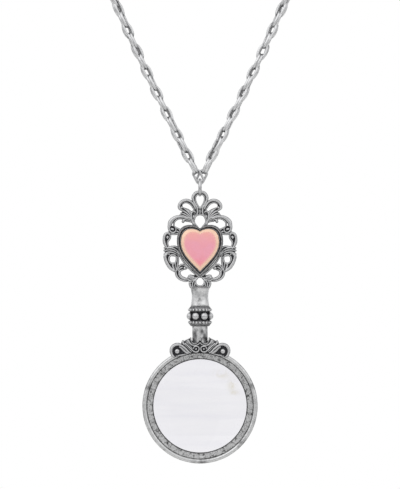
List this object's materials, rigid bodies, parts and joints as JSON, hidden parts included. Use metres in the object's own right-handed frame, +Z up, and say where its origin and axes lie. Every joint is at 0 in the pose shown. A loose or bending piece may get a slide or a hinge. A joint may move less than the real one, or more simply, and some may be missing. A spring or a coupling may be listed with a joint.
{
  "type": "magnifier pendant",
  "caption": "Round magnifying lens on a long link chain, hung under an openwork heart frame with a turned handle, beaded collar and cast crest.",
  "frame": {"origin": "the nape, in the middle of the clasp, where the necklace rests on the back of a neck", "axes": "+Z up as worn; the pendant hangs in front at -Y; +X to the right of a viewer who faces its front"},
  "size_m": [0.1664, 0.137, 0.3151],
  "materials": {
    "chain_silver": "light silver, darker between the links",
    "antique_silver": "antiqued casting, dark in its recesses",
    "worn_silver": "softly hammered and mottled",
    "hammered_silver": "hammered band between smooth edges",
    "pink_stone": "glossy pink with a peach edge",
    "lens_glass": "clear polished glass"
  },
  "bodies": {
    "chain": {"chain_left": "chain_silver", "chain_right": "chain_silver", "clasp": "chain_silver", "end_link_left": "chain_silver", "end_link_right": "chain_silver"},
    "ring": {"jump_ring": "chain_silver"},
    "pendant": {"heart_frame": "antique_silver", "heart_stone": "pink_stone", "handle": "worn_silver", "collar": "antique_silver", "crest": "antique_silver", "rim": "hammered_silver", "lens": "lens_glass"}
  },
  "joints": [
    {"name": "ring_swing", "type": "hinge", "parent": "chain", "child": "ring", "pos_m": [0, -0.13, -0.2078], "axis": [1, 0, 0], "range_deg": [-80, 80]},
    {"name": "pendant_sway", "type": "hinge", "parent": "ring", "child": "pendant", "pos_m": [0, -0.13, -0.21065], "axis": [0, 1, 0], "range_deg": [-60, 60]}
  ]
}
